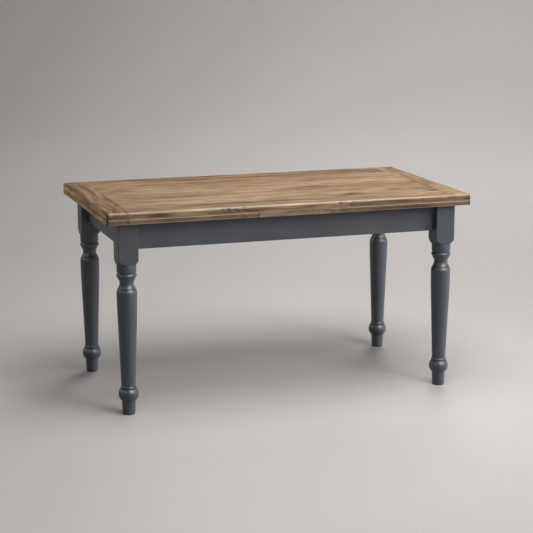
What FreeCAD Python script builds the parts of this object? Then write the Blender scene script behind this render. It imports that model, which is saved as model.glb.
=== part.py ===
import FreeCAD, Part
import os
import re
import Sketcher

# Draw-leaf kitchen table on four turned legs.
# Frame: origin on the floor under the middle of the top, X to the right along the length,
# Y from front to back, Z up. Lengths are millimetres, and the leaves are closed.
# A loose top rests on a fixed centre board. A leaf lies under each half of the top, level with
# the centre board, and runs out endways on two lopers, which slide in notches of the end apron
# and of two centre rails. A stop peg under each loper's tail ends the travel at its own rail.
# Everything but the boards of the top and leaves is the same after a half turn about Z.

# Driving sizes: alias, value, meaning
DRIVING_SIZES = [
    ("table_length", 1450, "top, and both closed leaves, from end to end"),
    ("table_width", 790, "front edge to back edge"),
    ("table_height", 780, "floor to the face of the top"),
    ("top_thick", 25, "loose top"),
    ("leaf_thick", 19, "draw leaves"),
    ("layer_gap", 0.7, "between the loose top and a leaf"),
    ("running_gap", 0.3, "under a leaf and under its lopers"),
    ("centre_board_run", 282, "centre board along the table"),
    ("leaf_end_gap", 1, "between a closed leaf and the centre board"),
    ("end_board_width", 85, "crosswise board at each end of the top and leaves"),
    ("inner_end_board_width", 92, "crosswise board at the inner end of a leaf"),
    ("top_arris", 7, "rounding of the top's upper outer edge"),
    ("top_lower_arris", 3, "rounding of the top's lower outer edge"),
    ("leaf_arris", 4, "rounding of a leaf's outer edges"),
    ("centre_arris", 1.5, "rounding of the centre board's front and back edges"),
    ("plan_corner", 9, "rounding of the four corners seen from above"),
    ("seam_bevel", 0.8, "bevel along each seam between boards"),
    ("tongue_length", 16, "tongue of a board in an end board"),
    ("tongue_stop", 30, "tongue and groove end this far from the front and back edges"),
    ("top_tongue_thick", 8, "tongue in the top"),
    ("leaf_tongue_thick", 6, "tongue in a leaf"),
    ("fit_gap", 0.1, "clearance on each side of a glued joint"),
    ("leg_block", 77, "side of the square leg blank"),
    ("leg_square_length", 135, "square head of the leg down to its rounded shoulder"),
    ("leg_edge_round", 3, "rounding of the leg's square edges"),
    ("end_overhang", 49.5, "top beyond the legs at the ends"),
    ("side_overhang", 37.5, "top beyond the legs at the front and back"),
    ("apron_height", 104, "aprons, flush with the leg tops"),
    ("apron_thick", 20, "aprons, centred on the legs"),
    ("apron_edge_round", 2, "rounding of an apron's lower edges"),
    ("tenon_length", 28, "tenon of an apron in a leg"),
    ("tenon_thick", 10, "tenon of an apron in a leg"),
    ("tenon_shoulder", 14, "apron above and below its tenon"),
    ("mortise_end_gap", 2, "glue room at the end of a tenon"),
    ("rail_x", 95, "centre line of a centre rail from the middle"),
    ("rail_thick", 22, "centre rails"),
    ("rail_height", 92, "centre rails, flush with the leg tops"),
    ("housing_depth", 8, "housing of a centre rail in an apron"),
    ("loper_apron_gap", 61, "between the outer loper of a leaf and the long apron beside it"),
    ("loper_stagger", 40, "a leaf's inner loper nearer to the middle than its outer one"),
    ("loper_width", 24, "lopers"),
    ("loper_depth", 44, "lopers"),
    ("loper_side_gap", 0.5, "clearance on each side of a loper in its notch"),
    ("loper_end_setback", 1, "loper end behind the outer face of the end apron"),
    ("loper_tail_margin", 20, "loper beyond its stop peg"),
    ("tail_gap", 0.7, "between a loper's tail and the centre board"),
    ("stop_peg_diameter", 12, "dowel under a loper's tail"),
    ("stop_peg_drop", 12, "stop peg below the loper"),
    ("stop_peg_clear", 2, "under a stop peg where it passes the other leaf's rail"),
    ("stop_gap", 0.5, "between a stop peg and its rail with the leaf fully drawn"),
    ("guide_peg_diameter", 24, "dowels that keep the loose top in place"),
    ("guide_peg_margin", 45, "guide peg from the centre board screws, towards the middle"),
    ("guide_gap", 0.5, "clearance around a guide peg in the centre board"),
    ("guide_socket", 10, "guide peg in the underside of the top"),
    ("guide_lift", 30, "how far the top lifts before its washers stop it"),
    ("guide_peg_bevel", 2, "bevel at the lower end of a guide peg"),
    ("washer_diameter", 44, "washer under a guide peg"),
    ("washer_thick", 3, "washer under a guide peg"),
    ("brace_thick", 22, "corner braces"),
    ("brace_rise", 8, "corner brace above the lower edge of the aprons"),
    ("brace_drop", 6, "corner brace below the loper notches"),
    ("brace_seat", 7, "wood under the head of a brace screw"),
    ("screw_diameter", 4, "all wood screws"),
    ("screw_head_diameter", 8, "all wood screws"),
    ("screw_head_height", 3, "all wood screws"),
    ("screw_head_bevel", 1, "bevel of a screw head"),
    ("screw_point", 5, "tapered point of a wood screw"),
    ("screw_tip_diameter", 1, "blunt tip of a wood screw"),
    ("screw_gap", 0.15, "clearance around a screw"),
    ("screw_head_gap", 0.5, "clearance around a screw head"),
    ("brace_screw_bite", 13, "brace screw in an apron"),
    ("centre_screw_bite", 26, "centre board screw in a rail"),
    ("centre_screw_recess", 4, "recess of a centre board screw"),
    ("centre_screw_margin", 44, "centre board screw from the nearest loper"),
    ("loper_screw_recess", 24, "recess of a loper screw"),
    ("loper_screw_bite", 14, "loper screw in a leaf"),
    ("guide_screw_bite", 24, "screw in the end of a guide peg"),
    ("pilot_end_gap", 1, "pilot hole beyond the point of its screw"),
    ("cut_overrun", 2, "how far a cut runs past the face that it opens"),
]

# Derived sizes: alias, formula, meaning
DERIVED_SIZES = [
    ("centre_board_thick", "=running_gap + leaf_thick + layer_gap", "fills the layer of the leaves"),
    ("top_low", "=table_height - top_thick", "underside of the top"),
    ("leg_top", "=top_low - centre_board_thick", "upper end of legs, aprons and rails"),
    ("leaf_low", "=leg_top + running_gap", "underside of a leaf"),
    ("leg_axis_x", "=table_length / 2 - end_overhang - leg_block / 2", "leg from the middle"),
    ("leg_axis_y", "=table_width / 2 - side_overhang - leg_block / 2", "leg from the middle"),
    ("turned_length", "=leg_top - leg_square_length", "turned part of a leg"),
    ("apron_low", "=leg_top - apron_height", "lower edge of the aprons"),
    ("tenon_low", "=apron_low + tenon_shoulder", "lower side of a tenon"),
    ("tenon_high", "=leg_top - tenon_shoulder", "upper side of a tenon"),
    ("mortise_depth", "=tenon_length + mortise_end_gap", "mortise in a leg"),
    ("long_apron_run", "=2 * leg_axis_x - leg_block", "long apron between its shoulders"),
    ("end_apron_run", "=2 * leg_axis_y - leg_block", "end apron between its shoulders"),
    ("apron_inner_x", "=leg_axis_x - apron_thick / 2", "inner face of an end apron"),
    ("apron_inner_y", "=leg_axis_y - apron_thick / 2", "inner face of a long apron"),
    ("loper_outer_y", "=apron_inner_y - loper_apron_gap - loper_width / 2",
     "the outer loper of a leaf from the middle"),
    ("loper_inner_y", "=loper_outer_y - loper_stagger", "its inner loper, on the other side"),
    ("centre_screw_y", "=loper_inner_y - loper_width / 2 - centre_screw_margin",
     "centre board screws from the middle"),
    ("guide_peg_y", "=centre_screw_y - guide_peg_margin", "guide pegs from the middle"),
    ("rail_low", "=leg_top - rail_height", "lower edge of the centre rails"),
    ("loper_low", "=leaf_low - loper_depth", "lower edge of the lopers"),
    ("loper_tail_high", "=leg_top - tail_gap", "upper edge of a loper's tail"),
    ("notch_low", "=loper_low - running_gap", "floor of a loper notch"),
    ("deep_notch_low", "=loper_low - stop_peg_drop - stop_peg_clear", "notch that a stop peg passes"),
    ("notch_width", "=loper_width + 2 * loper_side_gap", "loper notch"),
    ("leaf_inner_x", "=centre_board_run / 2 + leaf_end_gap", "inner end of a leaf"),
    ("leaf_run", "=table_length / 2 - leaf_inner_x", "leaf along the table, and its travel"),
    ("stop_peg_x", "=rail_x - rail_thick / 2 - stop_peg_diameter / 2 - stop_gap - leaf_run",
     "stop peg of the right leaf"),
    ("loper_tail_x", "=stop_peg_x - loper_tail_margin", "tail end of the right leaf's lopers"),
    ("loper_end_x", "=leg_axis_x + apron_thick / 2 - loper_end_setback", "outer end of the same"),
    ("brace_low", "=apron_low + brace_rise", "lower edge of the corner braces"),
    ("brace_high", "=notch_low - brace_drop", "upper edge of the corner braces"),
    ("brace_near", "=leg_block - apron_thick", "brace from the corner of the aprons, leg side"),
    ("brace_far", "=brace_near + brace_thick * sqrt(2)", "the same, room side"),
    ("brace_screw_run", "=(brace_near + brace_far) / 2", "brace screw along its apron"),
    ("brace_screw_z", "=(brace_low + brace_high) / 2", "height of the brace screws"),
    ("screw_hole", "=screw_diameter + 2 * screw_gap", "hole for a screw"),
    ("screw_head_hole", "=screw_head_diameter + 2 * screw_head_gap", "hole for a screw head"),
    ("loper_screw_seat", "=loper_low + loper_screw_recess", "height of the loper screw heads"),
    ("loper_screw_length", "=leaf_low + loper_screw_bite - loper_screw_seat", "loper screw"),
    ("centre_screw_seat", "=top_low - centre_screw_recess", "height of the centre board screw heads"),
    ("centre_screw_length", "=centre_screw_seat - leg_top + centre_screw_bite", "centre board screw"),
    ("guide_peg_low", "=leg_top - guide_lift", "lower end of the guide pegs"),
    ("top_board_run", "=table_length - 2 * end_board_width", "boards of the top"),
    ("leaf_board_x", "=leaf_inner_x + inner_end_board_width", "inner end of the boards of a leaf"),
    ("leaf_board_run", "=table_length / 2 - end_board_width - leaf_board_x", "boards of a leaf"),
    ("leaf_board_mid_x", "=leaf_board_x + leaf_board_run / 2", "middle of the boards of a leaf"),
    ("round_mid_share", "=1 - sqrt(0.5)", "middle of a quarter round from its sharp corner"),
]

# Boards of the top and the leaves from front to back, as shares of the table's width
BOARD_WIDTH_SHARES = (0.155, 0.18, 0.165, 0.165, 0.18, 0.155)

# Screws of a loper, as shares of its length under the leaf
LOPER_SCREW_SHARES = (0.08, 0.45, 0.85)

# Turned profile from the floor up: radius as a share of half the block, height as a share of the
# turned length. A row with two points is an arc that passes through the first.
LEG_PROFILE_SHARES = [
    ((0.587, 0.0),),                        # foot on the floor
    ((0.6208, 0.004),),                     # bevel of the foot
    ((0.6727, 0.0825),),                    # tapered foot
    ((0.6779, 0.08667), (0.7039, 0.0895)),  # flare under the bulb
    ((0.9896, 0.1325), (0.8052, 0.1653)),   # bulb
    ((0.7247, 0.1678),),                    # line above the bulb
    ((0.7584, 0.1703),),                    # lower edge of the collar
    ((0.7766, 0.175), (0.7195, 0.1822)),    # collar
    ((0.6935, 0.1843),),                    # step in to the taper
    ((0.9662, 0.6567),),                    # straight taper
    ((0.987, 0.7167), (0.9961, 0.7767)),    # swell
    ((0.9584, 0.793), (0.8753, 0.8037)),    # shoulder of the swell
    ((0.813, 0.8058),),                     # line above the shoulder
    ((0.8519, 0.8093),),                    # lower lip of the cove
    ((0.6909, 0.8408), (0.8468, 0.8692)),   # cove
    ((0.8675, 0.8703),),                    # edge of the fillet
    ((0.8727, 0.876),),                     # face of the fillet
    ((0.8935, 0.8777),),                    # step out to the ring
    ((0.9883, 0.89), (0.8987, 0.9023)),     # ring
    ((0.8571, 0.9043),),                    # upper side of the ring
    ((0.8571, 0.908),),                     # quirk
    ((0.9351, 0.91),),                      # underside of the band
    ((0.9481, 0.911), (0.9532, 0.9127)),    # lower edge of the band
    ((0.9636, 0.945),),                     # band
    ((0.9597, 0.9517), (0.9455, 0.9572)),   # upper edge of the band
    ((1.182, 0.9728), (1.449, 1)),          # rounded shoulder of the square head
]

LEG_PLACES = [("front_left", -1, -1, 0), ("front_right", 1, -1, 90),
              ("back_right", 1, 1, 180), ("back_left", -1, 1, 270)]

UP = FreeCAD.Vector(0, 0, 1)

doc = FreeCAD.newDocument("draw_leaf_table")
sheet = doc.addObject("Spreadsheet::Sheet", "Sizes")
for row, (alias, value, meaning) in enumerate(DRIVING_SIZES + DERIVED_SIZES, start=1):
    sheet.set(f"A{row}", alias)
    sheet.set(f"B{row}", str(value))
    sheet.set(f"C{row}", meaning)
    sheet.setAlias(f"B{row}", alias)
doc.recompute()

ALIAS_WORD = re.compile(r"\b(" + "|".join(size[0] for size in DRIVING_SIZES + DERIVED_SIZES) + r")\b")
nodes = []


# Formulas and places

def tied(formula):
    """The formula with each alias pointing at its cell of the sheet."""
    return ALIAS_WORD.sub(r"Sizes.\1", formula)


def measure(formula):
    """The formula's value now."""
    return float(sheet.evalExpression(tied(formula)))


def place(item, x, y, z, rotation):
    """Puts an item at three formulas, turned by a rotation."""
    item.Placement = FreeCAD.Placement(FreeCAD.Vector(), rotation)
    for axis, formula in zip("xyz", (x, y, z)):
        item.setExpression(f"Placement.Base.{axis}", tied(formula))


def new_body(label, x="0", y="0", z="0", turn=0):
    """An empty body of its own name, turned about Z by some degrees."""
    body = doc.addObject("PartDesign::Body", label)
    body.Label = label
    place(body, x, y, z, FreeCAD.Rotation(UP, turn))
    return body


def keep(item):
    """Marks an item as a sub-part that is written out."""
    nodes.append(item)
    return item


# Sketches

def new_sketch(body, role, at="0"):
    """A sketch on an origin plane of the body, moved to a coordinate along the third axis."""
    sketch = body.newObject("Sketcher::SketchObject", "outline")
    plane = next(item for item in body.Origin.OriginFeatures if item.Role == role)
    sketch.AttachmentSupport = [(plane, "")]
    sketch.MapMode = "FlatFace"
    along_normal = f"-({at})" if role == "XZ_Plane" else at
    sketch.setExpression("AttachmentOffset.Base.z", tied(along_normal))
    return sketch


def point(pair):
    """The sketch point that a pair of formulas gives now."""
    return FreeCAD.Vector(measure(pair[0]), measure(pair[1]), 0)


def hold(sketch, dimensions, relations):
    """Adds relations, then dimensions that are tied to their formulas."""
    sketch.addConstraint(relations)
    for kind, formula, *target in dimensions:
        index = sketch.addConstraint(Sketcher.Constraint(kind, *target, measure(formula)))
        sketch.setExpression(f"Constraints[{index}]", tied(formula))


def draw_outline(sketch, steps):
    """A closed outline through the last point of each step; a step of two points is an arc."""
    first = sketch.GeometryCount
    ends = [step[-1] for step in steps]
    starts_at = []
    stops_at = []
    for index, step in enumerate(steps):
        begin, finish = point(ends[index - 1]), point(ends[index])
        clockwise = False
        if len(step) == 1:
            sketch.addGeometry(Part.LineSegment(begin, finish), False)
        else:
            middle = point(step[0])
            clockwise = (middle - begin).cross(finish - middle).z < 0
            arc = Part.Arc(finish, middle, begin) if clockwise else Part.Arc(begin, middle, finish)
            sketch.addGeometry(arc, False)
        starts_at.append(2 if clockwise else 1)
        stops_at.append(1 if clockwise else 2)
    relations = []
    dimensions = []
    for index, step in enumerate(steps):
        following = (index + 1) % len(steps)
        side, stop = first + index, stops_at[index]
        relations.append(Sketcher.Constraint("Coincident", side, stop,
                                             first + following, starts_at[following]))
        dimensions.append(("DistanceX", ends[index][0], -1, 1, side, stop))
        dimensions.append(("DistanceY", ends[index][1], -1, 1, side, stop))
        if len(step) == 2:
            pin = sketch.addGeometry(Part.Point(point(step[0])), True)
            relations.append(Sketcher.Constraint("PointOnObject", pin, 1, side))
            dimensions.append(("DistanceX", step[0][0], -1, 1, pin, 1))
            dimensions.append(("DistanceY", step[0][1], -1, 1, pin, 1))
    hold(sketch, dimensions, relations)


def draw_rectangle(sketch, left, right, low, high, **corners):
    """A rectangle whose corners may be rounded or bevelled, such as low_left=("round", size)."""
    places = [("low_left", left, low, "+", "+"), ("low_right", right, low, "-", "+"),
              ("high_right", right, high, "-", "-"), ("high_left", left, high, "+", "-")]
    steps = []
    for name, x, y, inward_x, inward_y in places:
        if name not in corners:
            steps.append(((x, y),))
            continue
        kind, reach = corners[name]
        on_upright = (x, f"({y}) {inward_y} {reach}")
        on_level = (f"({x}) {inward_x} {reach}", y)
        arrive, leave = (on_upright, on_level) if inward_x == inward_y else (on_level, on_upright)
        middle = (f"({x}) {inward_x} {reach} * round_mid_share",
                  f"({y}) {inward_y} {reach} * round_mid_share")
        steps.append((arrive,))
        steps.append((middle, leave) if kind == "round" else (leave,))
    draw_outline(sketch, steps)


def draw_circle(sketch, x, y, diameter):
    """A circle about two formulas."""
    radius = measure(diameter) / 2
    ring = sketch.addGeometry(Part.Circle(point((x, y)), UP, radius), False)
    hold(sketch, [("DistanceX", x, -1, 1, ring, 3), ("DistanceY", y, -1, 1, ring, 3),
                  ("Diameter", diameter, ring)], [])


# Features

def add_pad(body, sketch, length, side="Symmetric"):
    """Extrudes a sketch along its normal, or to both sides of it alike."""
    pad = body.newObject("PartDesign::Pad", "pad")
    pad.Profile = sketch
    pad.SideType = side
    pad.setExpression("Length", tied(length))
    doc.recompute()
    return pad


def expect_less(body, feature, before):
    """Stops where a cut removed nothing."""
    doc.recompute()
    if not feature.Shape.Volume < before:
        raise ValueError(f"{body.Label}: {feature.Name} removes nothing")


def cut_pocket(body, sketch, depth, side="One side", against=False):
    """Cuts a sketch into the body, against its normal or along it, or to both sides alike."""
    before = body.Shape.Volume
    pocket = body.newObject("PartDesign::Pocket", "pocket")
    pocket.Profile = sketch
    pocket.SideType = side
    pocket.Reversed = not against
    pocket.setExpression("Length", tied(depth))
    expect_less(body, pocket, before)


def revolve(body, kind, sketch):
    """Turns a sketch about the body's Z axis, adding with Revolution or cutting with Groove."""
    before = body.Shape.Volume if kind == "Groove" else None
    feature = body.newObject(f"PartDesign::{kind}", kind.lower())
    feature.Profile = sketch
    feature.ReferenceAxis = (sketch, ["V_Axis"])
    if kind == "Groove":
        expect_less(body, feature, before)


def round_edges(body, base, radius, chosen):
    """Rounds the edges of a feature that a test picks."""
    names = [f"Edge{index}" for index, edge in enumerate(base.Shape.Edges, start=1) if chosen(edge)]
    fillet = body.newObject("PartDesign::Fillet", "rounding")
    fillet.Base = (base, names)
    fillet.setExpression("Radius", tied(radius))
    doc.recompute()
    return fillet


def cut_holes(body, role, at, holes, diameter, depth, against=False):
    """Drills circles at (first, second) coordinates of an origin plane moved to a coordinate."""
    sketch = new_sketch(body, role, at)
    for across, along in holes:
        draw_circle(sketch, across, along, diameter)
    cut_pocket(body, sketch, depth, against=against)


# Base

def make_leg(label, side_x, side_y, turn):
    """A square blank turned below its head, with a mortise in each of its two inner faces."""
    leg = new_body(label, f"{side_x} * leg_axis_x", f"{side_y} * leg_axis_y", turn=turn)
    rounded = ("round", "leg_edge_round")
    blank = new_sketch(leg, "XY_Plane")
    draw_rectangle(blank, "-leg_block / 2", "leg_block / 2", "-leg_block / 2", "leg_block / 2",
                   low_left=rounded, low_right=rounded, high_right=rounded, high_left=rounded)
    add_pad(leg, blank, "leg_top", side="One side")
    turning = new_sketch(leg, "XZ_Plane")
    steps = [tuple((f"leg_block / 2 * {radius}", f"turned_length * {height}") for radius, height in row)
             for row in LEG_PROFILE_SHARES]
    outermost = steps[-1][-1][0]
    innermost = steps[0][-1][0]
    steps += [((outermost, "-cut_overrun"),), ((innermost, "-cut_overrun"),)]
    draw_outline(turning, steps)
    revolve(leg, "Groove", turning)
    for role in ("YZ_Plane", "XZ_Plane"):
        mortise = new_sketch(leg, role, "leg_block / 2 - mortise_depth")
        draw_rectangle(mortise, "-tenon_thick / 2 - fit_gap", "tenon_thick / 2 + fit_gap",
                       "tenon_low - fit_gap", "tenon_high + fit_gap")
        cut_pocket(leg, mortise, "mortise_depth + cut_overrun", against=role == "XZ_Plane")
    return keep(leg)


def add_apron_board(apron, role, run):
    """The apron's board with rounded lower edges, and the tenons at both its ends."""
    rounded = ("round", "apron_edge_round")
    section = new_sketch(apron, role)
    draw_rectangle(section, "-apron_thick / 2", "apron_thick / 2", "apron_low", "leg_top",
                   low_left=rounded, low_right=rounded)
    add_pad(apron, section, run)
    tenon = new_sketch(apron, role)
    draw_rectangle(tenon, "-tenon_thick / 2", "tenon_thick / 2", "tenon_low", "tenon_high")
    add_pad(apron, tenon, f"{run} + 2 * tenon_length")


def make_long_apron(label, side_y, turn):
    """A plain apron, with housings for the centre rails and pilot holes for the brace screws."""
    apron = new_body(label, y=f"{side_y} * leg_axis_y", turn=turn)
    add_apron_board(apron, "YZ_Plane", "long_apron_run")
    housings = new_sketch(apron, "XY_Plane", "rail_low - fit_gap")
    for side in (-1, 1):
        draw_rectangle(housings, f"{side} * rail_x - rail_thick / 2 - fit_gap",
                       f"{side} * rail_x + rail_thick / 2 + fit_gap",
                       "apron_thick / 2 - housing_depth - fit_gap", "apron_thick / 2 + cut_overrun")
    cut_pocket(apron, housings, "rail_height + cut_overrun")
    holes = [(f"{side} * (apron_inner_x - brace_screw_run)", "brace_screw_z") for side in (-1, 1)]
    cut_holes(apron, "XZ_Plane", "apron_thick / 2", holes, "screw_hole",
              "brace_screw_bite + pilot_end_gap")
    return keep(apron)


def draw_notches(sketch, middles, floor):
    """Loper notches that are open at the top."""
    for middle in middles:
        draw_rectangle(sketch, f"{middle} - notch_width / 2", f"{middle} + notch_width / 2",
                       floor, "leg_top + cut_overrun")


def make_end_apron(label, side_x, turn):
    """An apron with a notch for each of its leaf's lopers and pilot holes for the brace screws."""
    apron = new_body(label, f"{side_x} * leg_axis_x", turn=turn)
    add_apron_board(apron, "XZ_Plane", "end_apron_run")
    notches = new_sketch(apron, "YZ_Plane")
    draw_notches(notches, ("loper_outer_y", "-loper_inner_y"), "notch_low")
    cut_pocket(apron, notches, "apron_thick + 2 * cut_overrun", side="Symmetric")
    holes = [(f"{side} * (apron_inner_y - brace_screw_run)", "brace_screw_z") for side in (-1, 1)]
    cut_holes(apron, "YZ_Plane", "-apron_thick / 2", holes, "screw_hole",
              "brace_screw_bite + pilot_end_gap")
    return keep(apron)


def make_centre_rail(label, side_x, turn):
    """A rail between the long aprons, notched deeper where the other leaf's stop pegs pass."""
    rail = new_body(label, f"{side_x} * rail_x", turn=turn)
    section = new_sketch(rail, "XZ_Plane")
    draw_rectangle(section, "-rail_thick / 2", "rail_thick / 2", "rail_low", "leg_top")
    add_pad(rail, section, "2 * (apron_inner_y + housing_depth)")
    for middles, floor in ((("loper_outer_y", "-loper_inner_y"), "notch_low"),
                           (("-loper_outer_y", "loper_inner_y"), "deep_notch_low")):
        notches = new_sketch(rail, "YZ_Plane")
        draw_notches(notches, middles, floor)
        cut_pocket(rail, notches, "rail_thick + 2 * cut_overrun", side="Symmetric")
    holes = [("0", f"{side} * centre_screw_y") for side in (-1, 1)]
    cut_holes(rail, "XY_Plane", "leg_top", holes, "screw_hole", "centre_screw_bite + pilot_end_gap",
              against=True)
    return keep(rail)


def make_centre_board():
    """The fixed board under the middle of the top, with guide holes and recessed screw holes."""
    board = new_body("centre_board")
    rounded = ("round", "centre_arris")
    section = new_sketch(board, "YZ_Plane")
    draw_rectangle(section, "-table_width / 2", "table_width / 2", "leg_top", "top_low",
                   low_left=rounded, low_right=rounded, high_right=rounded, high_left=rounded)
    add_pad(board, section, "centre_board_run")
    guides = [("0", f"{side} * guide_peg_y") for side in (-1, 1)]
    through = "centre_board_thick + cut_overrun"
    cut_holes(board, "XY_Plane", "leg_top", guides, "guide_peg_diameter + 2 * guide_gap", through)
    screws = [(f"{side_x} * rail_x", f"{side_y} * centre_screw_y")
              for side_x in (-1, 1) for side_y in (-1, 1)]
    cut_holes(board, "XY_Plane", "leg_top", screws, "screw_hole", through)
    cut_holes(board, "XY_Plane", "centre_screw_seat", screws, "screw_head_hole",
              "centre_screw_recess + cut_overrun")
    return keep(board)


def make_corner_brace(label, side_x, side_y, turn):
    """A mitred block across the corner of two aprons, with a recessed screw hole to each apron."""
    brace = new_body(label, f"{side_x} * apron_inner_x", f"{side_y} * apron_inner_y", turn=turn)
    plan = new_sketch(brace, "XY_Plane", "brace_low")
    draw_outline(plan, [(("brace_near", "0"),), (("brace_far", "0"),),
                        (("0", "brace_far"),), (("0", "brace_near"),)])
    add_pad(brace, plan, "brace_high - brace_low", side="One side")
    screw = [("brace_screw_run", "brace_screw_z")]
    for role, against in (("XZ_Plane", True), ("YZ_Plane", False)):
        cut_holes(brace, role, "0", screw, "screw_hole", "brace_far", against=against)
        cut_holes(brace, role, "brace_seat", screw, "screw_head_hole", "brace_far", against=against)
    return keep(brace)


# Fasteners and pegs

def make_screw(name, x, y, z, direction, length):
    """A wood screw with the underside of its head at a place, driven along a direction."""
    screw = new_body(name, x, y, z)
    aim = FreeCAD.Rotation(-UP, FreeCAD.Vector(*direction))
    screw.Placement = FreeCAD.Placement(screw.Placement.Base, aim)
    profile = new_sketch(screw, "XZ_Plane")
    draw_outline(profile, [
        (("0", f"-({length})"),),
        (("screw_tip_diameter / 2", f"-({length})"),),
        (("screw_diameter / 2", f"-({length}) + screw_point"),),
        (("screw_diameter / 2", "0"),),
        (("screw_head_diameter / 2", "0"),),
        (("screw_head_diameter / 2", "screw_head_height - screw_head_bevel"),),
        (("screw_head_diameter / 2 - screw_head_bevel", "screw_head_height"),),
        (("0", "screw_head_height"),),
    ])
    revolve(screw, "Revolution", profile)
    return screw


def make_group(label, members):
    """Separate solids that share one node."""
    group = doc.addObject("Part::Compound", label)
    group.Label = label
    group.Links = members
    return keep(group)


def make_brace_screws():
    """Two screws in each corner brace, one into each apron."""
    screws = []
    for corner, side_x, side_y, _ in LEG_PLACES:
        along_x = f"{side_x} * (apron_inner_x - brace_screw_run)"
        along_y = f"{side_y} * (apron_inner_y - brace_screw_run)"
        seat_x = f"{side_x} * (apron_inner_x - brace_seat)"
        seat_y = f"{side_y} * (apron_inner_y - brace_seat)"
        length = "brace_seat + brace_screw_bite"
        screws.append(make_screw(f"brace_screw_{corner}_long", along_x, seat_y, "brace_screw_z",
                                 (0, side_y, 0), length))
        screws.append(make_screw(f"brace_screw_{corner}_end", seat_x, along_y, "brace_screw_z",
                                 (side_x, 0, 0), length))
    return make_group("corner_brace_screws", screws)


def make_centre_board_screws():
    """Two screws down into each centre rail."""
    screws = [make_screw(f"centre_screw_{side_x}_{side_y}", f"{side_x} * rail_x",
                         f"{side_y} * centre_screw_y", "centre_screw_seat", (0, 0, -1),
                         "centre_screw_length")
              for side_x in (-1, 1) for side_y in (-1, 1)]
    return make_group("centre_board_screws", screws)


def make_guide_peg(label, side_y):
    """A dowel glued into the top, with a bevelled lower end and a pilot hole for its screw."""
    peg = new_body(label, y=f"{side_y} * guide_peg_y")
    outline = new_sketch(peg, "XZ_Plane")
    draw_rectangle(outline, "0", "guide_peg_diameter / 2", "guide_peg_low", "top_low + guide_socket",
                   low_right=("bevel", "guide_peg_bevel"))
    revolve(peg, "Revolution", outline)
    doc.recompute()
    cut_holes(peg, "XY_Plane", "guide_peg_low", [("0", "0")], "screw_hole",
              "guide_screw_bite + pilot_end_gap")
    return keep(peg)


def make_guide_washers():
    """A washer under each guide peg, which stops the lift against the centre board."""
    washers = []
    for side_y in (-1, 1):
        washer = new_body(f"guide_washer_{side_y}", y=f"{side_y} * guide_peg_y")
        ring = new_sketch(washer, "XY_Plane", "guide_peg_low - washer_thick")
        draw_circle(ring, "0", "0", "washer_diameter")
        draw_circle(ring, "0", "0", "screw_hole")
        add_pad(washer, ring, "washer_thick", side="One side")
        washers.append(washer)
    return make_group("guide_peg_washers", washers)


def make_guide_screws():
    """A screw through each washer into its guide peg."""
    screws = [make_screw(f"guide_screw_{side_y}", "0", f"{side_y} * guide_peg_y",
                         "guide_peg_low - washer_thick", (0, 0, 1), "washer_thick + guide_screw_bite")
              for side_y in (-1, 1)]
    return make_group("guide_peg_screws", screws)


# Top and leaves

def board_edge(index):
    """Front edge of a lengthwise board, counted from the front."""
    share = sum(BOARD_WIDTH_SHARES[:index])
    return f"table_width * ({share:.4f} - 0.5)"


def reaches(hole_y, diameter, front, back):
    """Whether a hole of some diameter touches a board."""
    radius = measure(diameter) / 2
    return measure(front) - radius < measure(hole_y) < measure(back) + radius


def make_lengthwise_board(label, index, layer, x, run, holes):
    """A board along the table: bevelled at its seams, rounded where it is an outer edge, tongued."""
    board = new_body(label, x)
    front, back = board_edge(index), board_edge(index + 1)
    is_front, is_back = index == 0, index == len(BOARD_WIDTH_SHARES) - 1
    bevel = ("bevel", "seam_bevel")
    upper, lower = ("round", layer["arris"]), ("round", layer["lower_arris"])
    corners = {"high_left": upper if is_front else bevel, "high_right": upper if is_back else bevel}
    if is_front:
        corners["low_left"] = lower
    if is_back:
        corners["low_right"] = lower
    section = new_sketch(board, "YZ_Plane")
    draw_rectangle(section, front, back, layer["low"], f"{layer['low']} + {layer['thick']}", **corners)
    add_pad(board, section, run)
    tongue = new_sketch(board, "YZ_Plane")
    middle = f"{layer['low']} + {layer['thick']} / 2"
    draw_rectangle(tongue, f"{front} + tongue_stop" if is_front else front,
                   f"{back} - tongue_stop" if is_back else back,
                   f"{middle} - {layer['tongue_thick']} / 2", f"{middle} + {layer['tongue_thick']} / 2")
    add_pad(board, tongue, f"{run} + 2 * tongue_length")
    reached = [(f"({hole_x}) - ({x})", hole_y) for hole_x, hole_y in holes["places"]
               if reaches(hole_y, holes["diameter"], front, back)]
    if reached:
        cut_holes(board, "XY_Plane", layer["low"], reached, holes["diameter"], holes["depth"])
    return keep(board)


def cut_groove(board, layer, inward, depth_from):
    """The stopped groove of an end board, cut from its face towards the tongues."""
    middle = f"{layer['low']} + {layer['thick']} / 2"
    half = f"({layer['tongue_thick']} / 2 + fit_gap)"
    groove = new_sketch(board, "XZ_Plane")
    bottom = f"{depth_from} + {inward} * (tongue_length + fit_gap)"
    mouth = f"{depth_from} - {inward} * cut_overrun"
    left, right = sorted((bottom, mouth), key=measure)
    draw_rectangle(groove, left, right, f"{middle} - {half}", f"{middle} + {half}")
    cut_pocket(board, groove, "table_width - 2 * (tongue_stop - fit_gap)", side="Symmetric")


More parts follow.
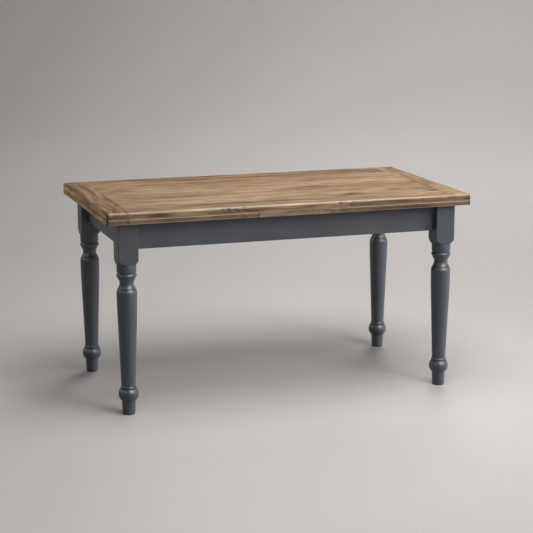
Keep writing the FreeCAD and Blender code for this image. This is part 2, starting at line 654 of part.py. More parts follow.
def make_outer_end_board(label, layer, side_x, turn):
    """A crosswise board at the end of the table, rounded on its three outer sides, grooved inside."""
    board = new_body(label, f"{side_x} * (table_length / 2 - end_board_width)", turn=turn)
    rounded = ("round", "plan_corner")
    plan = new_sketch(board, "XY_Plane", layer["low"])
    draw_rectangle(plan, "0", "end_board_width", "-table_width / 2", "table_width / 2",
                   low_right=rounded, high_right=rounded)
    slab = add_pad(board, plan, layer["thick"], side="One side")
    tolerance = measure("fit_gap")

    def outer_edge_at(height):
        """A test for the outer edges that lie at a height."""
        level = measure(height)

        def chosen(edge):
            box = edge.BoundBox
            return abs(box.ZMin - level) + abs(box.ZMax - level) < tolerance and box.XMax > tolerance

        return chosen

    upper = f"{layer['low']} + {layer['thick']}"
    rounded_above = round_edges(board, slab, layer["arris"], outer_edge_at(upper))
    round_edges(board, rounded_above, layer["lower_arris"], outer_edge_at(layer["low"]))
    cut_groove(board, layer, 1, "0")
    return keep(board)


def make_inner_end_board(label, layer, side_x, turn, holes):
    """The crosswise board at the inner end of a leaf, rounded at its front and back, grooved."""
    board = new_body(label, f"{side_x} * leaf_inner_x", turn=turn)
    upper, lower = ("round", layer["arris"]), ("round", layer["lower_arris"])
    section = new_sketch(board, "YZ_Plane")
    draw_rectangle(section, "-table_width / 2", "table_width / 2", layer["low"],
                   f"{layer['low']} + {layer['thick']}",
                   low_left=lower, low_right=lower, high_right=upper, high_left=upper)
    add_pad(board, section, "inner_end_board_width", side="One side")
    cut_groove(board, layer, -1, "inner_end_board_width")
    edge = measure("inner_end_board_width + leaf_inner_x")
    reached = [(f"({hole_x}) - leaf_inner_x", hole_y) for hole_x, hole_y in holes["places"]
               if measure(hole_x) < edge]
    if reached:
        cut_holes(board, "XY_Plane", layer["low"], reached, holes["diameter"], holes["depth"])
    return keep(board)


TOP_LAYER = {"low": "top_low", "thick": "top_thick", "arris": "top_arris",
             "lower_arris": "top_lower_arris", "tongue_thick": "top_tongue_thick"}
LEAF_LAYER = {"low": "leaf_low", "thick": "leaf_thick", "arris": "leaf_arris",
              "lower_arris": "leaf_arris", "tongue_thick": "leaf_tongue_thick"}

# The two lopers of the right leaf; the left leaf's are these after a half turn
LOPER_PLACES = [("outer", "loper_outer_y"), ("inner", "-loper_inner_y")]
LOPER_SCREW_PLACES = [f"leaf_inner_x + {share} * (loper_end_x - leaf_inner_x)"
                      for share in LOPER_SCREW_SHARES]


def make_top():
    """The loose top: lengthwise boards between two end boards, with sockets for the guide pegs."""
    sockets = {"places": [("0", f"{side} * guide_peg_y") for side in (-1, 1)],
               "diameter": "guide_peg_diameter + 2 * fit_gap", "depth": "guide_socket + fit_gap"}
    for index in range(len(BOARD_WIDTH_SHARES)):
        make_lengthwise_board(f"top_board_{index + 1}", index, TOP_LAYER, "0", "top_board_run", sockets)
    make_outer_end_board("top_end_board_left", TOP_LAYER, -1, 180)
    make_outer_end_board("top_end_board_right", TOP_LAYER, 1, 0)
    make_guide_peg("guide_peg_front", -1)
    make_guide_peg("guide_peg_back", 1)
    make_guide_washers()
    make_guide_screws()


def make_loper(label, y, side_x, turn):
    """A sliding bearer: full height under the leaf, relieved along its tail, drilled from below."""
    loper = new_body(label, y=f"{side_x} * ({y})", turn=turn)
    outline = new_sketch(loper, "XZ_Plane")
    draw_outline(outline, [(("loper_tail_x", "loper_low"),), (("loper_end_x", "loper_low"),),
                           (("loper_end_x", "leaf_low"),), (("leaf_inner_x", "leaf_low"),),
                           (("leaf_inner_x", "loper_tail_high"),), (("loper_tail_x", "loper_tail_high"),)])
    add_pad(loper, outline, "loper_width")
    through = "loper_depth + cut_overrun"
    screws = [(x, "0") for x in LOPER_SCREW_PLACES]
    cut_holes(loper, "XY_Plane", "loper_low", screws, "screw_hole", through)
    cut_holes(loper, "XY_Plane", "loper_low", screws, "screw_head_hole", "loper_screw_recess")
    cut_holes(loper, "XY_Plane", "loper_low", [("stop_peg_x", "0")],
              "stop_peg_diameter + 2 * fit_gap", through)
    return keep(loper)


def make_stop_peg(name, y, side_x):
    """A dowel through the tail of a loper, standing out below it."""
    peg = doc.addObject("Part::Cylinder", name)
    place(peg, f"{side_x} * stop_peg_x", f"{side_x} * ({y})", "loper_low - stop_peg_drop",
          FreeCAD.Rotation())
    peg.setExpression("Radius", tied("stop_peg_diameter / 2"))
    peg.setExpression("Height", tied("loper_tail_high - loper_low + stop_peg_drop"))
    return peg


def make_leaf(side, side_x, turn):
    """A draw leaf: boards between an outer and an inner end board, on two lopers with stop pegs."""
    unturned_places = [(x, y) for _, y in LOPER_PLACES for x in LOPER_SCREW_PLACES]
    places = [(f"{side_x} * ({x})", f"{side_x} * ({y})") for x, y in unturned_places]
    pilots = {"places": places, "diameter": "screw_hole", "depth": "loper_screw_bite + pilot_end_gap"}
    unturned = dict(pilots, places=unturned_places)
    for index in range(len(BOARD_WIDTH_SHARES)):
        make_lengthwise_board(f"{side}_leaf_board_{index + 1}", index, LEAF_LAYER,
                              f"{side_x} * leaf_board_mid_x", "leaf_board_run", pilots)
    make_outer_end_board(f"{side}_leaf_outer_end_board", LEAF_LAYER, side_x, turn)
    make_inner_end_board(f"{side}_leaf_inner_end_board", LEAF_LAYER, side_x, turn, unturned)
    for name, y in LOPER_PLACES:
        make_loper(f"{side}_leaf_loper_{name}", y, side_x, turn)
    make_group(f"{side}_leaf_stop_pegs",
               [make_stop_peg(f"{side}_stop_peg_{name}", y, side_x) for name, y in LOPER_PLACES])
    make_group(f"{side}_leaf_loper_screws",
               [make_screw(f"{side}_loper_screw_{index}", x, y, "loper_screw_seat", (0, 0, 1),
                           "loper_screw_length")
                for index, (x, y) in enumerate(places, start=1)])


def make_base():
    """Legs, aprons, rails, braces and the fixed centre board."""
    for corner, side_x, side_y, turn in LEG_PLACES:
        make_leg(f"leg_{corner}", side_x, side_y, turn)
    make_long_apron("apron_front", -1, 0)
    make_long_apron("apron_back", 1, 180)
    make_end_apron("apron_right", 1, 0)
    make_end_apron("apron_left", -1, 180)
    make_centre_rail("centre_rail_right", 1, 0)
    make_centre_rail("centre_rail_left", -1, 180)
    make_centre_board()
    for corner, side_x, side_y, turn in LEG_PLACES:
        make_corner_brace(f"corner_brace_{corner}", side_x, side_y, turn)
    make_brace_screws()
    make_centre_board_screws()


def check_document():
    """Stops where a feature failed or a sub-part has no valid solid."""
    doc.recompute()
    for item in doc.Objects:
        if "Invalid" in item.State or "Error" in item.State:
            raise ValueError(f"{item.Label} failed: {item.State}")
    for node in nodes:
        if node.Shape.isNull() or not node.Shape.isValid() or not node.Shape.Solids:
            raise ValueError(f"{node.Label} has no valid solid")


make_base()
make_top()
make_leaf("right", 1, 0)
make_leaf("left", -1, 180)
check_document()

os.makedirs("parts", exist_ok=True)
for node in nodes:
    node.Shape.exportStep(f"parts/{node.Label}.step")
print(f"{len(nodes)} sub-parts, {sum(len(node.Shape.Solids) for node in nodes)} solids")
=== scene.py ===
import math

import bpy
import numpy as np
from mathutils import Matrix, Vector


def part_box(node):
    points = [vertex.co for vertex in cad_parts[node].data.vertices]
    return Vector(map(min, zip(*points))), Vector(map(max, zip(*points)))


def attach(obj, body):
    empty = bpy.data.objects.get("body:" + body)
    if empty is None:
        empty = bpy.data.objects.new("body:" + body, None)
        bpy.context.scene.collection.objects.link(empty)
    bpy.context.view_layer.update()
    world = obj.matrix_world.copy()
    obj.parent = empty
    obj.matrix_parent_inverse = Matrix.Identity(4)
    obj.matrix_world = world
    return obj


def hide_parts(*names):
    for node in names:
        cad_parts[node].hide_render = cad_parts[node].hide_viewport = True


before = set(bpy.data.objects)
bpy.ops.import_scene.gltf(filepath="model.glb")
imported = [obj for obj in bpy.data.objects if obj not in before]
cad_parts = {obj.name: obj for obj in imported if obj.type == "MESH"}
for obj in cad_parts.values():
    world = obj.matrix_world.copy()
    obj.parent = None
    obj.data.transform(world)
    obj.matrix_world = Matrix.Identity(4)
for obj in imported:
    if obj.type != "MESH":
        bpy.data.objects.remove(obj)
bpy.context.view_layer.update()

# Draw-leaf kitchen table: weathered plank top and leaves on a slate-painted base.
# Metres, in the frame of the solids: X along the table, Y from front to back, Z up.

# Edges of the planks
TOP_ARRIS = 0.010
TOP_LOWER_ARRIS = 0.004
LEAF_ARRIS = 0.004
SEAM_BEVEL = 0.0012
SEAM_LOWER_BEVEL = 0.0002
PLAN_CORNER = 0.009

# Steps of the plank surfaces
STATION_STEP = 0.006
FRONT_STATION_STEP = 0.0025
END_STATIONS = 9
FACE_STEPS = 30
SIDE_STEPS = 12
CORNER_STEPS = 7
CAP_RING_SHARES = np.array((0.82, 0.58, 0.25))[:, None, None]
SHARP_ANGLE = math.radians(40)

# Wear of the planks: depths are how far the surface sinks below the new plank, and lengths are
# those of waves along a plank and across it
FACE_WAVE_DEPTH = 0.0004
FACE_WAVE_LENGTHS = (0.31, 0.07)
ARRIS_WEAR_SHARE = 0.16
ARRIS_REACH_SHARE = 0.95
ARRIS_WAVE_LENGTHS = (0.085, 0.03)
ARRIS_WAVE_SHARES = (0.45, 1.0)
DIRTY_ARRIS_SHARE = 0.9
FRONT_REACH = 0.009
GRIME_REACH = 0.016
RAGGED_WAVE_LENGTHS = (0.011, 0.004)
WAVE_COUNT = 9
WAVE_STRETCH_SHARES = (0.6, 1.7)
FIELD_MIDDLE_SHARE = 0.5

# Pits in the front edge of the top, in clusters: (from, to) along X, (from, to) above the underside,
# number of pits
PIT_CLUSTERS = (
    ((-0.290, -0.185), (0.0070, 0.0215), 64),
    ((0.170, 0.245), (0.0080, 0.0210), 26),
    ((-0.610, -0.560), (0.0060, 0.0140), 4),
    ((0.470, 0.560), (0.0060, 0.0150), 5),
)
PIT_HALF_LENGTHS = (0.0012, 0.0050)
PIT_HALF_HEIGHTS = (0.0006, 0.0014)
PIT_DEPTHS = (0.0006, 0.0020)
PIT_SLOPE_SHARES = (0.4, 1.3)
PIT_RAGGED_SHARE = 0.7
# Cracks in the front edge: middle along X, half length, height above the underside, half height, depth
FRONT_CRACKS = (
    (-0.172, 0.034, 0.0066, 0.0016, 0.0040),
    (-0.215, 0.034, 0.0095, 0.0009, 0.0018),
    (0.230, 0.024, 0.0100, 0.0008, 0.0016),
)

# Camera, as the photograph was taken
CAMERA_AZIMUTH = math.radians(-18.6)
CAMERA_ELEVATION = math.radians(11.8)
CAMERA_DISTANCE = 6.3650
CAMERA_TARGET = Vector((0.0171, 0.0, 0.4594))
CAMERA_LENS = 106.75
CAMERA_SENSOR = 36.0

# Boards, and how much paler or darker each is than the wood's own colours. A side of the table is
# -1 at the left and 1 at the right.
LONG_BOARDS = 6
LONG_BOARD_SHADES = (-0.05, 0.03, -0.03, 0.05, 0.0, -0.07)
END_BOARD_SHADES = {-1: -0.13, 1: -0.01}
# The centre board is darkened as painted shade, since the base's fill and gloss lights also reach it
CENTRE_BOARD_PAINTED_SHADE = -0.08
SIDES = (("left", -1), ("right", 1))
CROSSWISE = -math.pi / 2

# Seeds of what is left to chance
MARK_SEED = 7
TOP_SEED = 100
LEAF_SEEDS = {-1: 200, 1: 400}
CENTRE_BOARD_SEED = 41
ARRIS_SEED_STEP = 11
RAGGED_SEED_STEP = 29
END_BOARD_SEED_STEP = 90


# Meshes

def ripples(along, across, lengths, seed):
    """A smooth random field from 0 to 1: a half plus half the sum of some sine waves over the root
    of twice their number. Each wave has a seeded direction, phase and wavelength near the two
    given lengths."""
    draw = np.random.default_rng(seed)
    total = np.zeros(np.broadcast(along, across).shape)
    for _ in range(WAVE_COUNT):
        stretch = draw.uniform(*WAVE_STRETCH_SHARES, 2)
        sign = draw.choice((-1.0, 1.0))
        phase = draw.uniform(0, 2 * math.pi)
        total += np.sin(2 * math.pi * (along / (lengths[0] * stretch[0])
                                       + sign * across / (lengths[1] * stretch[1])) + phase)
    return np.clip(FIELD_MIDDLE_SHARE * (1 + total / math.sqrt(2 * WAVE_COUNT)), 0, 1)


def smooth_step(value, low, high):
    """0 below low, 1 above high, and a smooth cubic between."""
    share = np.clip((value - low) / (high - low), 0, 1)
    return share * share * (3 - 2 * share)


def add_mesh(name, points, faces, body, material, marks=None):
    """Puts points and faces into a piece that rides on a body, with float marks per point."""
    mesh = bpy.data.meshes.new(name)
    mesh.from_pydata(points.tolist(), [], faces)
    for mark, values in (marks or {}).items():
        layer = mesh.attributes.new(mark, "FLOAT", "POINT")
        layer.data.foreach_set("value", values.astype(np.float32).ravel())
    mesh.polygons.foreach_set("use_smooth", np.ones(len(mesh.polygons), dtype=bool))
    mesh.set_sharp_from_angle(angle=SHARP_ANGLE)
    mesh.materials.append(material)
    mesh.update()
    piece = bpy.data.objects.new(name, mesh)
    bpy.context.scene.collection.objects.link(piece)
    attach(piece, body)
    return piece


def tube_faces(stations, around, flip):
    """Quads of a tube of closed loops, and one flat face at each end."""
    index = np.arange(stations * around).reshape(stations, around)
    following = np.roll(index, -1, axis=1)
    quads = np.stack([index[:-1], following[:-1], following[1:], index[1:]], axis=-1).reshape(-1, 4)
    caps = [index[0][::-1].tolist(), index[-1].tolist()]
    if flip:
        quads = quads[:, ::-1]
        caps = [cap[::-1] for cap in caps]
    return quads.tolist() + caps


def stations_between(start, stop, end_zone, step):
    """Places along a plank: even steps in the middle, and in each end zone its length times one
    less the cosine of an evenly growing angle, so closer together towards the ends."""
    count = max(2, round((stop - start - 2 * end_zone) / step))
    middle = np.linspace(start + end_zone, stop - end_zone, count + 1)
    turn = np.linspace(0, math.pi / 2, END_STATIONS)[:-1]
    near = start + end_zone * (1 - np.cos(turn))
    return np.concatenate([near, middle, (start + stop - near)[::-1]])


def round_in(distance, radius):
    """How far a quarter round draws in at a distance from its end: the radius less the height of
    a circle of that radius there. A radius of 0 draws in nothing."""
    inside = np.clip(1 - distance / max(radius, SEAM_LOWER_BEVEL / 2), 0, 1)
    return radius * (1 - np.sqrt(1 - inside ** 2))


def front_marks():
    """Pits and cracks of the top's front edge: rows of middle along X, half length, height above
    the underside, half height and depth. Pits are spread by chance within their clusters."""
    draw = np.random.default_rng(MARK_SEED)
    rows = [np.array(FRONT_CRACKS)]
    for along, up, count in PIT_CLUSTERS:
        ranges = (along, PIT_HALF_LENGTHS, up, PIT_HALF_HEIGHTS, PIT_DEPTHS)
        rows.append(np.stack([draw.uniform(low, high, count) for low, high in ranges], axis=-1))
    return np.concatenate(rows)


class Plank:
    """A worn plank: a rounded rectangle carried along the plank, drawn in at rounded ends, and
    sunk along its normals by waves, rubbed arrises, pits and cracks.

    limits are (start, stop) along the grain, (near, far) across it and (low, high) in Z. rounds
    are the radii of the four long edges: near low, far low, far high, near high. end_rounds are
    the radii at both ends: near side in plan, far side in plan, low edge, high edge."""

    def __init__(self, along_x, limits, rounds, end_rounds, seed, step=STATION_STEP):
        self.along_x = along_x
        self.limits = limits
        self.rounds = rounds
        self.end_rounds = end_rounds
        self.seed = seed
        self.step = step

    def sections(self):
        """The loops of all stations, with the outward normals: at each place along, four quarter
        rounds about their centres, joined by straight runs of even steps."""
        (start, stop), (near, far), (low, high) = self.limits
        along = stations_between(start, stop, max(*self.end_rounds, SEAM_BEVEL), self.step)
        from_end = np.minimum(along - start, stop - along)
        drawn = [round_in(from_end, radius) for radius in self.end_rounds]
        near, far = near + drawn[0], far - drawn[1]
        low, high = low + drawn[2], high - drawn[3]
        corners = [(near, low, 1, 1), (far, low, -1, 1), (far, high, -1, -1), (near, high, 1, -1)]
        quarter = np.linspace(0, math.pi / 2, CORNER_STEPS)
        arcs = []
        for index, ((across, up, inward, upward), radius) in enumerate(zip(corners, self.rounds)):
            turn = math.pi * (1 + index / 2) + quarter
            normal = np.stack([np.cos(turn), np.sin(turn)], axis=-1)
            centre = np.stack([across + inward * radius, up + upward * radius], axis=-1)
            arcs.append((centre[:, None, :] + radius * normal,
                         np.broadcast_to(normal, (len(along), CORNER_STEPS, 2))))
        loops, normals = [], []
        for index, (arc, arc_normal) in enumerate(arcs):
            following = arcs[(index + 1) % len(arcs)][0]
            steps = FACE_STEPS if index % 2 == 0 else SIDE_STEPS
            share = np.linspace(0, 1, steps + 1)[1:-1, None]
            run = arc[:, -1:, :] * (1 - share) + following[:, :1, :] * share
            loops += [arc, run]
            normals += [arc_normal, np.broadcast_to(arc_normal[:, -1:, :], run.shape)]
        return self.with_caps(along, np.concatenate(loops, axis=1), np.concatenate(normals, axis=1))

    @staticmethod
    def with_caps(along, loop, normal):
        """The sections with smaller rings of the first and last loop added on the end faces."""
        count = len(CAP_RING_SHARES)
        first, last = loop[0].mean(axis=0), loop[-1].mean(axis=0)
        start_rings = first + (loop[0] - first) * CAP_RING_SHARES[::-1]
        stop_rings = last + (loop[-1] - last) * CAP_RING_SHARES
        return (np.pad(along, count, mode="edge"), np.concatenate([start_rings, loop, stop_rings]),
                np.pad(normal, ((count, count), (0, 0), (0, 0)), mode="edge"))

    def wear(self, place, across, up):
        """How far each point sinks, and the marks of rubbed arrises, which also carry a painted
        highlight, and of grimy corners: waves on the faces, plus a share of each arris's radius that
        fades with the distance from its corner."""
        (start, stop), (near, far), (low, high) = self.limits
        sunk = FACE_WAVE_DEPTH * ripples(place, across + up, FACE_WAVE_LENGTHS, self.seed)
        rubbed_and_highlight = np.zeros_like(sunk)
        grime = np.zeros_like(sunk)
        edges = [(near, low), (far, low), (far, high), (near, high)]
        for index, ((edge_across, edge_up), radius) in enumerate(zip(edges, self.rounds)):
            if radius <= SEAM_BEVEL:
                continue
            corner = np.hypot(across - edge_across, up - edge_up)
            closeness = 1 - smooth_step(corner, 0, ARRIS_REACH_SHARE * radius)
            wave = ripples(place, across + up, ARRIS_WAVE_LENGTHS, self.seed + ARRIS_SEED_STEP + index)
            worn = closeness * smooth_step(wave, *ARRIS_WAVE_SHARES)
            sunk = sunk + ARRIS_WEAR_SHARE * radius * worn
            if self.along_x:
                rubbed_and_highlight = np.maximum(rubbed_and_highlight, closeness)
            elif edge_up == high:
                grime = np.maximum(grime, DIRTY_ARRIS_SHARE * closeness)
        from_end = np.minimum(place - start, stop - place)
        for edge_up, radius in ((low, self.end_rounds[2]), (high, self.end_rounds[3])):
            if radius > SEAM_BEVEL:
                corner = np.hypot(from_end, up - edge_up)
                rubbed_and_highlight = np.maximum(rubbed_and_highlight, 1 - smooth_step(corner, 0, ARRIS_REACH_SHARE * radius))
        for edge_across, radius in ((near, self.end_rounds[0]), (far, self.end_rounds[1])):
            if radius > SEAM_BEVEL:
                corner = np.hypot(np.abs(across - edge_across), from_end)
                grime = np.maximum(grime, 1 - smooth_step(corner, 0, GRIME_REACH))
        return sunk, rubbed_and_highlight, grime

    def points(self, marks):
        """The points of the plank, the shape of their grid and the float marks: the loops, sunk
        along their normals by the wear or by a pit's bowl, whichever is deeper."""
        along, loop, normal = self.sections()
        across, up = loop[..., 0], loop[..., 1]
        place = along[:, None] + np.zeros_like(across)
        sunk, rubbed_and_highlight, grime = self.wear(place, across, up)
        pitted = np.zeros_like(sunk)
        near, low = self.limits[1][0], self.limits[2][0]
        on_front = smooth_step(near + FRONT_REACH - across, 0, FRONT_REACH / 2)
        ragged = ripples(place, up, RAGGED_WAVE_LENGTHS, self.seed + RAGGED_SEED_STEP) - FIELD_MIDDLE_SHARE
        for middle, half_length, height, half_height, depth in marks:
            reach = np.hypot((place - middle) / half_length, (up - low - height) / half_height)
            bowl = on_front * (1 - smooth_step(reach + PIT_RAGGED_SHARE * ragged, *PIT_SLOPE_SHARES))
            sunk = np.maximum(sunk, depth * bowl)
            pitted = np.maximum(pitted, bowl)
        loop = loop - normal * sunk[..., None]
        across, up = loop[..., 0], loop[..., 1]
        points = np.stack((place, across, up) if self.along_x else (across, place, up), axis=-1)
        values = {"rubbed_and_highlight": rubbed_and_highlight, "pitted": pitted, "grime": grime}
        return points.reshape(-1, 3), points.shape[:2], values

    def build(self, name, body, material, marks=()):
        """The finished piece, which stands for the solid of the same name."""
        points, (stations, around), values = self.points(marks)
        faces = tube_faces(stations, around, flip=not self.along_x)
        piece = add_mesh(name + "_worn", points, faces, body, material, values)
        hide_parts(name)
        return piece


# Materials
RAMP_MIDDLE = 0.5
MIX_COLOUR_INPUTS = (6, 7)
MIX_COLOUR_OUTPUT = 2


class Graph:
    """The node tree of one material, with calls that add a node and link its inputs."""

    def __init__(self, name):
        self.material = bpy.data.materials.new(name)
        self.material.use_nodes = True
        self.nodes = self.material.node_tree.nodes
        self.links = self.material.node_tree.links
        self.nodes.clear()

    def node(self, kind, inputs=None, **settings):
        """A node with its settings; an input is a plain value or another node's output."""
        made = self.nodes.new("ShaderNode" + kind)
        for name, value in settings.items():
            setattr(made, name, value)
        for name, value in (inputs or {}).items():
            if isinstance(value, bpy.types.NodeSocket):
                self.links.new(value, made.inputs[name])
            else:
                made.inputs[name].default_value = value
        return made

    def place(self, shift=(0, 0, 0), turn=0):
        """Object coordinates, shifted and turned about Z."""
        coordinates = self.node("TexCoord").outputs["Object"]
        return self.node("Mapping", {"Vector": coordinates, "Location": shift,
                                     "Rotation": (0, 0, turn)}).outputs["Vector"]

    def vector(self, operation, first, second, third=(0, 0, 0)):
        """Vector arithmetic."""
        made = self.node("VectorMath", {0: first, 1: second, 2: third}, operation=operation)
        return made.outputs["Vector"]

    def math(self, operation, first, second=0.0, third=0.0):
        """Arithmetic on numbers."""
        return self.node("Math", {0: first, 1: second, 2: third}, operation=operation).outputs[0]

    def total(self, start, *terms):
        """A number plus each term's number times its weight."""
        value = start
        for number, weight in terms:
            value = self.math("MULTIPLY_ADD", number, weight, value)
        return value

    def product(self, *numbers):
        """Numbers multiplied together."""
        value = numbers[0]
        for number in numbers[1:]:
            value = self.math("MULTIPLY", value, number)
        return value

    def noise(self, place, cells, detail=2.0, roughness=0.5, output="Fac"):
        """Noise with a given number of cells per metre along each axis."""
        scaled = self.vector("MULTIPLY", place, cells)
        return self.node("TexNoise", {"Vector": scaled, "Scale": 1.0, "Detail": detail,
                                      "Roughness": roughness}).outputs[output]

    def spots(self, place, cells):
        """Distance from the nearest of scattered spots, in cells, and a random number of that spot."""
        scaled = self.vector("MULTIPLY", place, cells)
        found = self.node("TexVoronoi", {"Vector": scaled, "Scale": 1.0},
                          voronoi_dimensions="2D").outputs
        chance = self.node("SeparateColor", {"Color": found["Color"]}).outputs["Red"]
        return found["Distance"], chance

    def span(self, value, low, high, to_low=0.0, to_high=1.0):
        """Maps a number from one range to another, held at its ends."""
        return self.node("MapRange", {"Value": value, "From Min": low, "From Max": high,
                                      "To Min": to_low, "To Max": to_high}).outputs["Result"]

    def ramp(self, value, stops):
        """Colours between stops of (position, colour)."""
        made = self.node("ValToRGB", {"Fac": value})
        elements = made.color_ramp.elements
        while len(elements) < len(stops):
            elements.new(RAMP_MIDDLE)
        for element, (position, colour) in zip(elements, stops):
            element.position = position
            element.color = (*colour, 1.0)
        return made.outputs["Color"]

    def blend(self, share, first, second, how="MIX"):
        """A mix of two colours; each is a colour or another node's output."""
        made = self.node("Mix", {0: share}, data_type="RGBA", blend_type=how, clamp_factor=True)
        for index, value in zip(MIX_COLOUR_INPUTS, (first, second)):
            if isinstance(value, bpy.types.NodeSocket):
                self.links.new(value, made.inputs[index])
            else:
                made.inputs[index].default_value = (*value, 1.0)
        return made.outputs[MIX_COLOUR_OUTPUT]

    def mark(self, name):
        """A float mark of the piece, 0 where it has none."""
        return self.node("Attribute", attribute_name=name).outputs["Fac"]

    def facing(self, axis, low, high):
        """1 where the surface faces along an axis, either way, and 0 where it faces across it."""
        normal = self.node("TexCoord").outputs["Normal"]
        parts = self.node("SeparateXYZ", {"Vector": normal}).outputs
        return self.span(self.math("ABSOLUTE", parts[axis]), low, high)

    def finish(self, colour, roughness, height, bump_depth, **constants):
        """The surface: colour, roughness and a bump of some depth, with constant sockets."""
        bump = self.node("Bump", {"Height": height, "Strength": 1.0, "Distance": bump_depth})
        shader = self.node("BsdfPrincipled", {"Base Color": colour, "Roughness": roughness,
                                              "Normal": bump.outputs["Normal"]})
        for name, value in constants.items():
            shader.inputs[name.replace("_", " ")].default_value = value
        output = self.node("OutputMaterial")
        self.links.new(shader.outputs["BSDF"], output.inputs["Surface"])
        return self.material


# Wood: colours from dark to pale
WEATHERED_STOPS = (
    (0.0, (0.066, 0.037, 0.019)),
    (0.27, (0.197, 0.115, 0.060)),
    (0.50, (0.405, 0.263, 0.151)),
    (0.72, (0.560, 0.389, 0.240)),
    (1.0, (0.705, 0.540, 0.370)),
)
BARE_STOPS = (
    (0.0, (0.24, 0.145, 0.075)),
    (0.40, (0.46, 0.305, 0.170)),
    (1.0, (0.66, 0.49, 0.310)),
)
PIT_COLOUR = (0.016, 0.010, 0.007)
KNOT_COLOUR = (0.085, 0.042, 0.020)
GRIME_COLOUR = (0.045, 0.028, 0.017)
# Rubbed arrises: paler worn wood, and also a painted highlight along them
RUBBED_AND_HIGHLIGHT_COLOUR = (0.930, 0.795, 0.630)
END_GRAIN_COLOUR = (0.170, 0.112, 0.068)
# Painted shade multiplied into the faces that look along Y, the front and back edges: lighter on the top,
# darker on the leaves and, by default, on the other wood
TOP_EDGE_PAINTED_SHADE = (0.800, 0.730, 0.655)
LEAF_EDGE_PAINTED_SHADE = (0.500, 0.445, 0.385)
# Patterns of the grain: cells per metre along it and across it, detail, roughness
SWAY = ((1.5, 4.5, 4.5), 2.0, 0.5)
STREAK = ((1.7, 44.0, 44.0), 5.0, 0.62)
DASH = ((8.5, 50.0, 50.0), 4.0, 0.6)
STAIN = ((2.6, 9.0, 9.0), 3.0, 0.5)
SMUDGE = ((9.0, 50.0, 50.0), 4.0, 0.65)
FIBRE = ((14.0, 600.0, 600.0), 3.0, 0.6)
PORE = ((30.0, 760.0, 760.0), 1.0, 0.5)
CRACK = ((2.4, 60.0, 60.0), 2.0, 0.5)
RAGGED = ((260.0, 420.0, 420.0), 2.0, 0.5)
KNOT_CELLS = (2.3, 6.0, 0.0)
SPECK_CELLS = (70.0, 70.0, 0.0)
SWAY_REACH = (0.0, 0.024, 0.024)
# Growth rings: spacing, how much rings reach along the grain, and what bends them
RING_SPACING = 0.0048
RING_STRETCH_SHARES = (0.02, 1.0, 1.0)
RINGS_ROUND_KNOT = 6.0
RINGS_IN_STREAK = 1.4
RING_SHARPNESS = 2.2
# Weights of the patterns in the tone, in the height and in the polish
TONE_START = -0.73
STREAK_TONE = 0.85
DASH_TONE = 0.85
STAIN_TONE = 0.60
FIBRE_TONE = 0.24
RING_TONE = -0.13
FIBRE_HEIGHT = 0.5
RING_HEIGHT = 0.15
DARK_HEIGHT = -0.8
PITTED_HEIGHT = -0.6
END_POLISH = -0.4
RUBBED_POLISH = 1.4
# Where a pattern starts and where it is full
KNOT_CHANCE = (0.58, 0.62)
KNOT_SWELL = (0.34, 0.0)
KNOT_HEART = (0.15, 0.02)
SMUDGE_LEVELS = (0.57, 0.74)
PORE_LEVELS = (0.62, 0.74)
CRACK_WIDTHS = (0.007, 0.0)
CRACK_STAIN_LEVELS = (0.56, 0.64)
SPECK_SIZES = (0.13, 0.07)
SPECK_CHANCE = (0.90, 0.91)
GRIME_LEVELS = (0.45, 1.1)
PITTED_LEVELS = (0.55, 1.0)
END_GRAIN_FACING = (0.55, 0.95)
SHADED_EDGE_FACING = (0.72, 0.98)
# From and to, then the share or roughness there
RUBBED_AND_HIGHLIGHT_BY_STREAK = (0.36, 0.60, 0.68, 1.0)
ROUGHNESS_BY_POLISH = (0.6, 2.2, 0.76, 0.32)
# How much of a colour shows
END_GRAIN_SHARE = 0.36
SMUDGE_SHARE = 0.55
PORE_SHARE = 0.5
DARK_SHARE = 0.85
GRIME_SHARE = 0.9
RAGGED_GRIME_SHARE = 0.5
RAGGED_PIT_SHARE = 0.8
PITTED_SHARE = 0.92
WOOD_BUMP_DEPTH = 0.0007
WOOD_SPECULAR = 0.32


def growth_rings(graph, swayed, near_knot, streak):
    """Rings about the pith: the distance from it over their spacing, shifted near knots and by
    streaks, of which the part after the point is raised to a power."""
    across = graph.vector("MULTIPLY", swayed, RING_STRETCH_SHARES)
    radius = graph.node("VectorMath", {0: across}, operation="LENGTH").outputs["Value"]
    phase = graph.total(0.0, (radius, 1 / RING_SPACING), (near_knot, RINGS_ROUND_KNOT),
                        (streak, RINGS_IN_STREAK))
    return graph.math("POWER", graph.math("FRACT", phase), RING_SHARPNESS)


def dark_flecks(graph, place, swayed, stain, aged):
    """The darkest of pores, hairline cracks where the wood is stained, and round specks."""
    pores = graph.span(graph.noise(place, *PORE), *PORE_LEVELS)
    ridge = graph.math("ABSOLUTE", graph.total(-FIELD_MIDDLE_SHARE, (graph.noise(swayed, *CRACK), 1.0)))
    cracks = graph.product(graph.span(ridge, *CRACK_WIDTHS), graph.span(stain, *CRACK_STAIN_LEVELS), aged)
    distance, chance = graph.spots(place, SPECK_CELLS)
    specks = graph.product(graph.span(distance, *SPECK_SIZES), graph.span(chance, *SPECK_CHANCE), aged)
    return graph.math("MAXIMUM", graph.math("MAXIMUM", graph.product(pores, PORE_SHARE), cracks), specks)


